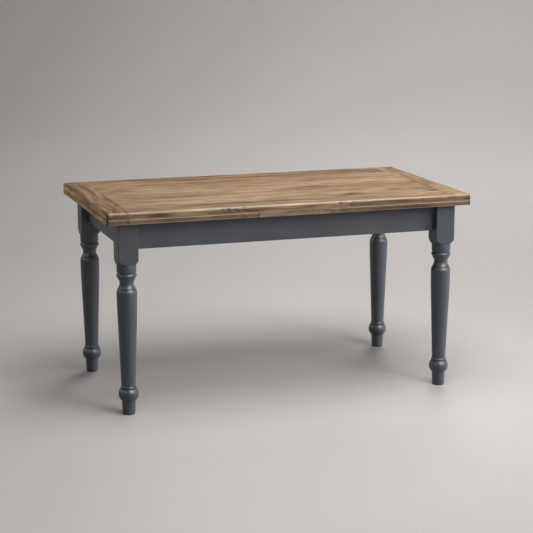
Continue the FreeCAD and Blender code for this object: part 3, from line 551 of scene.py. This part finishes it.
def wood(name, stops, pith, turn=0.0, shade=0.0, aged=1.0, edge_painted_shade=LEAF_EDGE_PAINTED_SHADE):
    """Solid wood: growth rings about a pith that sways along the grain and swells round knots,
    with streaks, stains, smudges, fibres, pores and hairline cracks drawn out along the grain."""
    graph = Graph(name)
    place = graph.place(pith, turn)
    swayed = graph.vector("MULTIPLY_ADD", graph.noise(place, *SWAY, output="Color"), SWAY_REACH, place)
    knot_distance, knot_chance = graph.spots(swayed, KNOT_CELLS)
    chosen = graph.product(graph.span(knot_chance, *KNOT_CHANCE), aged)
    near_knot = graph.product(graph.span(knot_distance, *KNOT_SWELL), chosen)
    streak = graph.noise(swayed, *STREAK)
    dash = graph.noise(swayed, *DASH)
    fibre = graph.noise(swayed, *FIBRE)
    stain = graph.noise(place, *STAIN)
    rings = growth_rings(graph, swayed, near_knot, streak)
    tone = graph.total(shade + TONE_START, (streak, STREAK_TONE), (dash, DASH_TONE), (stain, STAIN_TONE),
                       (fibre, FIBRE_TONE), (rings, RING_TONE))
    colour = graph.ramp(tone, stops)
    smudge = graph.span(graph.noise(swayed, *SMUDGE), *SMUDGE_LEVELS)
    colour = graph.blend(graph.product(smudge, SMUDGE_SHARE * aged), colour, KNOT_COLOUR)
    heart = graph.product(graph.span(knot_distance, *KNOT_HEART), chosen)
    colour = graph.blend(heart, colour, KNOT_COLOUR)
    dark = dark_flecks(graph, place, swayed, stain, aged)
    colour = graph.blend(graph.product(dark, DARK_SHARE), colour, PIT_COLOUR)
    # Arrises rubbed pale by wear, and also a painted highlight along them
    rubbed_and_highlight = graph.product(graph.mark("rubbed_and_highlight"), graph.span(streak, *RUBBED_AND_HIGHLIGHT_BY_STREAK))
    colour = graph.blend(rubbed_and_highlight, colour, RUBBED_AND_HIGHLIGHT_COLOUR)
    # Painted shade on the faces that look along Y, the front and back edges
    colour = graph.blend(graph.facing("Y", *SHADED_EDGE_FACING), colour, edge_painted_shade, how="MULTIPLY")
    end = graph.facing("Y" if turn else "X", *END_GRAIN_FACING)
    colour = graph.blend(graph.product(end, END_GRAIN_SHARE), colour, END_GRAIN_COLOUR)
    ragged = graph.noise(place, *RAGGED)
    dirt = graph.total(0.0, (graph.mark("grime"), GRIME_SHARE), (ragged, RAGGED_GRIME_SHARE))
    colour = graph.blend(graph.span(dirt, *GRIME_LEVELS), colour, GRIME_COLOUR)
    holes = graph.total(0.0, (graph.mark("pitted"), 1.0), (ragged, RAGGED_PIT_SHARE))
    pitted = graph.span(holes, *PITTED_LEVELS)
    colour = graph.blend(graph.product(pitted, PITTED_SHARE), colour, PIT_COLOUR)
    polish = graph.total(0.0, (streak, 1.0), (fibre, 1.0), (end, END_POLISH), (rubbed_and_highlight, RUBBED_POLISH))
    height = graph.total(0.0, (fibre, FIBRE_HEIGHT), (streak, 1.0), (rings, RING_HEIGHT),
                         (dark, DARK_HEIGHT), (pitted, PITTED_HEIGHT))
    return graph.finish(colour, graph.span(polish, *ROUGHNESS_BY_POLISH), height, WOOD_BUMP_DEPTH,
                        Specular_IOR_Level=WOOD_SPECULAR)


# Paint: colours from dark to pale, and cells per metre along the brush's path and across it
SLATE_STOPS = (
    (0.25, (0.033, 0.040, 0.049)),
    (0.5, (0.040, 0.048, 0.059)),
    (0.75, (0.047, 0.057, 0.069)),
)
WORN_PAINT_COLOUR = (0.165, 0.180, 0.195)
ALONG_BRUSH = 9.0
ACROSS_BRUSH = 260.0
BRUSH_DETAIL = (3.0, 0.6)
PAINT_CLOUD = ((7.0, 7.0, 5.0), 3.0, 0.5)
PEEL = ((420.0, 420.0, 420.0), 2.0, 0.5)
PAINT_TONE_START = 0.15
BRUSHED_TONE = 0.20
CLOUD_TONE = 0.50
BRUSHED_HEIGHT = 0.30
PEEL_HEIGHT = 0.35
PAINT_EDGE_RADIUS = 0.0022
PAINT_EDGE_SAMPLES = 6
# Where the paint's edges turn enough, and where the brush left it thin enough, to be rubbed
EDGE_TURN_LEVELS = (0.985, 0.86)
THIN_LEVELS = (0.42, 0.66)
RUBBED_PAINT_SHARE = 0.35
ROUGHNESS_BY_BRUSH = (0.6, 1.4, 0.36, 0.44)
PAINT_BUMP_DEPTH = 0.00024
PAINT_SPECULAR = 0.45


def paint(name, brush_cells):
    """Eggshell paint: brushed along one axis, with faint tone changes and rubbed sharp edges."""
    graph = Graph(name)
    place = graph.place()
    brushed = graph.noise(place, brush_cells, *BRUSH_DETAIL)
    cloud = graph.noise(place, *PAINT_CLOUD)
    peel = graph.noise(place, *PEEL)
    shade = graph.total(PAINT_TONE_START, (brushed, BRUSHED_TONE), (cloud, CLOUD_TONE))
    rounded = graph.node("Bevel", {"Radius": PAINT_EDGE_RADIUS}, samples=PAINT_EDGE_SAMPLES)
    normals = {0: rounded.outputs["Normal"], 1: graph.node("NewGeometry").outputs["Normal"]}
    turn = graph.node("VectorMath", normals, operation="DOT_PRODUCT").outputs["Value"]
    edge = graph.product(graph.span(turn, *EDGE_TURN_LEVELS), graph.span(brushed, *THIN_LEVELS),
                         RUBBED_PAINT_SHARE)
    colour = graph.blend(edge, graph.ramp(shade, SLATE_STOPS), WORN_PAINT_COLOUR)
    roughness = graph.span(graph.total(0.0, (brushed, 1.0), (cloud, 1.0)), *ROUGHNESS_BY_BRUSH)
    height = graph.total(0.0, (brushed, BRUSHED_HEIGHT), (peel, PEEL_HEIGHT))
    return graph.finish(colour, roughness, height, PAINT_BUMP_DEPTH, Specular_IOR_Level=PAINT_SPECULAR)


# Steel and floor
STEEL_STOPS = ((0.3, (0.42, 0.42, 0.41)), (0.7, (0.62, 0.62, 0.60)))
PLATING = ((160.0, 160.0, 160.0), 3.0, 0.5)
SCRATCH = ((2400.0, 300.0, 300.0), 2.0, 0.5)
ROUGHNESS_BY_SCRATCH = (0.3, 0.7, 0.28, 0.46)
STEEL_BUMP_DEPTH = 0.00008
FLOOR_STOPS = ((0.3, (0.775, 0.735, 0.709)), (0.7, (0.790, 0.750, 0.724)))
MOTTLE = ((1.1, 1.1, 1.1), 4.0, 0.5)
FLOOR_ROUGHNESS = 0.85
FLOOR_SPECULAR = 0.2
FLOOR_BUMP_DEPTH = 0.0004


def steel(name):
    """Zinc-plated steel: cloudy plating with fine scratches."""
    graph = Graph(name)
    place = graph.place()
    cloud = graph.noise(place, *PLATING)
    scratch = graph.noise(place, *SCRATCH)
    roughness = graph.span(scratch, *ROUGHNESS_BY_SCRATCH)
    return graph.finish(graph.ramp(cloud, STEEL_STOPS), roughness, scratch, STEEL_BUMP_DEPTH, Metallic=1.0)


def floor_finish(name):
    """Pale matt floor with a faint mottle."""
    graph = Graph(name)
    mottle = graph.noise(graph.place(), *MOTTLE)
    return graph.finish(graph.ramp(mottle, FLOOR_STOPS), FLOOR_ROUGHNESS, mottle, FLOOR_BUMP_DEPTH,
                        Specular_IOR_Level=FLOOR_SPECULAR)


# Planks of the top and the leaves, and how far the pith may lie from a plank's middle and face
PITH_ALONG = (-4, 4)
PITH_ASIDE = (-0.05, 0.05)
PITH_BELOW = (0.02, 0.07)


def pith_for(middle, face, seed):
    """A mapping shift that sets a plank's pith below its face and to one side."""
    draw = np.random.default_rng(seed)
    along = draw.uniform(*PITH_ALONG)
    aside = draw.uniform(*PITH_ASIDE)
    return along, aside - middle, draw.uniform(*PITH_BELOW) - face


def make_layer(body, prefix, ends, arris, lower_arris, edge_painted_shade, seed, marks=()):
    """The planks of the top or a leaf: six along the table between two crosswise ends.

    ends are (name, whether it lies at the end of the table, side of the table)."""
    pieces = []
    seam = (SEAM_LOWER_BEVEL, SEAM_BEVEL)
    boxes = [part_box(name) for name, _, _ in ends]
    start = min(box[1].x for box in boxes)
    stop = max(box[0].x for box in boxes)
    for index in range(LONG_BOARDS):
        name = f"{prefix}_board_{index + 1}"
        low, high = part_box(name)
        front, back = index == 0, index == LONG_BOARDS - 1
        near = (lower_arris, arris) if front else seam
        far = (lower_arris, arris) if back else seam
        plank = Plank(True, ((start, stop), (low.y, high.y), (low.z, high.z)),
                      [near[0], far[0], far[1], near[1]], (0, 0, 0, SEAM_BEVEL), seed + index,
                      FRONT_STATION_STEP if front and len(marks) else STATION_STEP)
        pith = pith_for((low.y + high.y) / 2, high.z, seed + index)
        finish = wood(f"{name}_wood", WEATHERED_STOPS, pith, shade=LONG_BOARD_SHADES[index],
                      edge_painted_shade=edge_painted_shade)
        pieces.append(plank.build(name, body, finish, marks if front else ()))
    for number, (name, at_end, side) in enumerate(ends):
        low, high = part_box(name)
        outer = (lower_arris, arris) if at_end else seam
        near, far = (seam, outer) if side > 0 else (outer, seam)
        plan = PLAN_CORNER if at_end else 0
        plan_near, plan_far = (0, plan) if side > 0 else (plan, 0)
        end_seed = seed + END_BOARD_SEED_STEP + number
        plank = Plank(False, ((low.y, high.y), (low.x, high.x), (low.z, high.z)),
                      [near[0], far[0], far[1], near[1]],
                      (plan_near, plan_far, lower_arris, arris), end_seed)
        pith = pith_for(-(low.x + high.x) / 2, high.z, end_seed)
        finish = wood(f"{name}_wood", WEATHERED_STOPS, pith, turn=CROSSWISE,
                      shade=END_BOARD_SHADES[side] if at_end else 0, edge_painted_shade=edge_painted_shade)
        pieces.append(plank.build(name, body, finish))
    return pieces


top_ends = [(f"top_end_board_{side_name}", True, side) for side_name, side in SIDES]
planks = make_layer("top", "top", top_ends, TOP_ARRIS, TOP_LOWER_ARRIS, TOP_EDGE_PAINTED_SHADE, TOP_SEED,
                    front_marks())
for side_name, side in SIDES:
    leaf = f"{side_name}_leaf"
    leaf_ends = [(f"{leaf}_outer_end_board", True, side), (f"{leaf}_inner_end_board", False, side)]
    planks += make_layer(leaf, leaf, leaf_ends, LEAF_ARRIS, LEAF_ARRIS, LEAF_EDGE_PAINTED_SHADE, LEAF_SEEDS[side])


# Finishes of the solids that stay
# Unpainted wood under the table: finish, words in the nodes' names, turn, height of the faces, seed
BARE_WOODS = (
    ("loper_wood", ("_loper_",), 0.0, 0.70, 51),
    ("rail_wood", ("centre_rail_", "corner_brace_"), CROSSWISE, 0.69, 61),
    ("peg_wood", ("_peg",), 0.0, 0.70, 71),
)
BARE_AGE_SHARE = 0.2


def dress(nodes, material):
    """Gives solids a material."""
    for node in nodes:
        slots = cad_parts[node].data.materials
        slots.clear()
        slots.append(material)


shown = [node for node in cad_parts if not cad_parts[node].hide_render]
metal = [node for node in shown if "screws" in node or "washers" in node]
timber = [node for node in shown if node not in metal]
dress([node for node in timber if node.startswith("leg_")],
      paint("slate_paint_upright", (ACROSS_BRUSH, ACROSS_BRUSH, ALONG_BRUSH)))
dress(["apron_front", "apron_back"],
      paint("slate_paint_lengthwise", (ALONG_BRUSH, ACROSS_BRUSH, ACROSS_BRUSH)))
dress(["apron_left", "apron_right"],
      paint("slate_paint_crosswise", (ACROSS_BRUSH, ALONG_BRUSH, ACROSS_BRUSH)))
dress(metal, steel("zinc_steel"))
centre_pith = pith_for(0.0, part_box("centre_board")[1].z, CENTRE_BOARD_SEED)
dress(["centre_board"], wood("centre_board_wood", WEATHERED_STOPS, centre_pith, shade=CENTRE_BOARD_PAINTED_SHADE))
for finish_name, words, turn, face, seed in BARE_WOODS:
    dress([node for node in timber if any(word in node for word in words)],
          wood(finish_name, BARE_STOPS, pith_for(0.0, face, seed), turn=turn, aged=BARE_AGE_SHARE))


# Floor, light and camera
FLOOR_FLAT_RADIUS = 7.0
FLOOR_RIM_RADIUS = 15.0
FLOOR_RIM_HEIGHT = 5.3
FLOOR_RINGS = 48
FLOOR_SPOKES = 160
WORLD_STRENGTH = 0.035
WORLD_COLOUR = (1.0, 0.99, 0.98, 1.0)
# Soft square lights: name, place, place that it points at, size, power
# On everything
ROOM_LIGHTS = (
    ("key", (2.2, -4.3, 3.8), (0.0, 0.0, 0.4), 2.2, 58.0),
    ("overhead", (0.35, -0.55, 2.65), (0.0, 0.0, 0.5), 1.8, 32.0),
)
# On the table alone, in its colours and not in its gloss
FILL_LIGHTS = (
    ("right_side", (3.0, -1.6, 2.2), (0.0, 0.0, 0.5), 1.8, 54.0),
    ("back_left", (-3.0, 3.6, 1.8), (0.0, 0.0, 0.4), 2.0, 118.0),
    ("back_right", (3.6, 3.0, 1.8), (0.0, 0.0, 0.4), 2.0, 70.0),
)
# On all but the floor and the planks, in their colours
BASE_LIGHTS = (
    ("right_front", (3.7, -2.1, 1.45), (0.0, 0.0, 0.4), 1.8, 130.0),
    ("right_low", (4.4, -0.5, 0.75), (0.0, 0.0, 0.4), 1.4, 230.0),
)
# On the table alone, in its gloss
SHEEN_LIGHTS = (
    ("sheen_right", (2.2, -4.3, 3.8), (0.0, 0.0, 0.4), 3.2, 380.0),
)
# On all but the floor and the planks, in their gloss
GLOSS_LIGHTS = (
    ("gloss_right", (2.2, -4.3, 3.8), (0.0, 0.0, 0.4), 3.2, 500.0),
    ("gloss_front_left", (-5.8, -4.0, 4.5), (0.0, 0.0, 0.4), 6.0, 200.0),
    ("gloss_back_left", (-6.3, 3.0, 4.5), (0.0, 0.0, 0.4), 6.0, 200.0),
)
# Pools on the floor alone, near the table and then far from it
FLOOR_LIGHTS = (
    ("floor_over", (0.35, -0.55, 2.65), (0.35, -0.55, 0.0), 1.8, 9.0),
    ("floor_front", (-0.6, -2.7, 4.0), (-0.6, -2.7, 0.0), 2.5, 31.0),
    ("floor_behind", (2.5, 3.0, 4.0), (2.5, 3.0, 0.0), 2.5, 60.0),
    ("floor_far", (3.6, 6.5, 5.5), (3.6, 6.5, 0.0), 3.0, 108.0),
    ("floor_rim", (5.0, 8.0, 6.0), (5.0, 8.0, 0.0), 3.0, 80.0),
)
FAR_LIGHTS = (
    ("floor_left", (-5.5, -1.0, 6.5), (-12.0, -1.0, 1.0), 3.0, 150.0),
    ("floor_near", (0.0, -5.5, 6.5), (0.0, -12.0, 1.0), 3.0, 150.0),
    ("floor_right", (6.5, -3.0, 6.5), (12.0, -4.0, 1.0), 3.0, 110.0),
)
FULL_SPREAD = math.pi
FAR_SPREAD = math.radians(100)


def make_floor():
    """A round floor: flat in the middle, then rising to its rim with the cube of the distance
    outside the flat, so no horizon shows."""
    outside = np.linspace(0, 1, FLOOR_RINGS)[:, None]
    spoke = np.linspace(0, 2 * math.pi, FLOOR_SPOKES, endpoint=False)
    radius = FLOOR_FLAT_RADIUS + (FLOOR_RIM_RADIUS - FLOOR_FLAT_RADIUS) * outside
    height = FLOOR_RIM_HEIGHT * outside ** 3 + np.zeros_like(spoke)
    points = np.stack([radius * np.cos(spoke), radius * np.sin(spoke), height], axis=-1).reshape(-1, 3)
    faces = tube_faces(FLOOR_RINGS, FLOOR_SPOKES, flip=True)[:-1]
    mesh = bpy.data.meshes.new("floor")
    mesh.from_pydata(points.tolist(), [], faces)
    flat_middle = len(faces) - 1
    mesh.polygons.foreach_set("use_smooth", np.arange(len(faces)) < flat_middle)
    mesh.materials.append(floor_finish("pale_floor"))
    floor = bpy.data.objects.new("floor", mesh)
    bpy.context.scene.collection.objects.link(floor)
    return floor


def add_light(name, place, aim, size, power):
    """A soft square light that points at a place and is out of the camera's sight."""
    light = bpy.data.lights.new(name, "AREA")
    light.shape = "SQUARE"
    light.size = size
    light.energy = power
    lamp = bpy.data.objects.new(name, light)
    lamp.location = place
    lamp.rotation_mode = "QUATERNION"
    lamp.rotation_quaternion = (Vector(aim) - Vector(place)).to_track_quat("-Z", "Y")
    lamp.visible_camera = False
    bpy.context.scene.collection.objects.link(lamp)
    return lamp


def light_group(name, pieces, state):
    """A list that makes a light shine on some pieces alone, or on all but those."""
    group = bpy.data.collections.new(name)
    for index, piece in enumerate(pieces):
        group.objects.link(piece)
        group.collection_objects[index].light_linking.link_state = state
    return group


def light_room(floor):
    """A dim room with a soft key light in front on the right and one over the table, fills on the
    table and on its base, lights that only their gloss mirrors, and pools of light on the floor."""
    world = bpy.data.worlds.new("studio")
    world.use_nodes = True
    background = world.node_tree.nodes["Background"]
    background.inputs["Color"].default_value = WORLD_COLOUR
    background.inputs["Strength"].default_value = WORLD_STRENGTH
    bpy.context.scene.world = world
    floor_alone = light_group("floor_alone", [floor], "INCLUDE")
    floor_left_out = light_group("floor_left_out", [floor], "EXCLUDE")
    planks_left_out = light_group("planks_left_out", [floor] + planks, "EXCLUDE")
    groups = (
        (ROOM_LIGHTS, None, True, True, FULL_SPREAD),
        (FILL_LIGHTS, floor_left_out, True, False, FULL_SPREAD),
        (BASE_LIGHTS, planks_left_out, True, False, FULL_SPREAD),
        (SHEEN_LIGHTS, floor_left_out, False, True, FULL_SPREAD),
        (GLOSS_LIGHTS, planks_left_out, False, True, FULL_SPREAD),
        (FLOOR_LIGHTS, floor_alone, True, True, FULL_SPREAD),
        (FAR_LIGHTS, floor_alone, True, True, FAR_SPREAD),
    )
    for lights, receivers, in_colour, in_gloss, spread in groups:
        for settings in lights:
            lamp = add_light(*settings)
            lamp.data.spread = spread
            lamp.light_linking.receiver_collection = receivers
            lamp.visible_diffuse = in_colour
            lamp.visible_glossy = in_gloss


def set_camera():
    """The camera of the photograph: a long lens, looking down a little from front left."""
    back = Vector((math.sin(CAMERA_AZIMUTH) * math.cos(CAMERA_ELEVATION),
                   -math.cos(CAMERA_AZIMUTH) * math.cos(CAMERA_ELEVATION),
                   math.sin(CAMERA_ELEVATION)))
    lens = bpy.data.cameras.new("camera")
    lens.lens = CAMERA_LENS
    lens.sensor_width = CAMERA_SENSOR
    camera = bpy.data.objects.new("camera", lens)
    camera.location = CAMERA_TARGET + back * CAMERA_DISTANCE
    camera.rotation_mode = "QUATERNION"
    camera.rotation_quaternion = (-back).to_track_quat("-Z", "Y")
    bpy.context.scene.collection.objects.link(camera)
    bpy.context.scene.camera = camera


light_room(make_floor())
set_camera()
bpy.context.scene.view_settings.view_transform = "Standard"
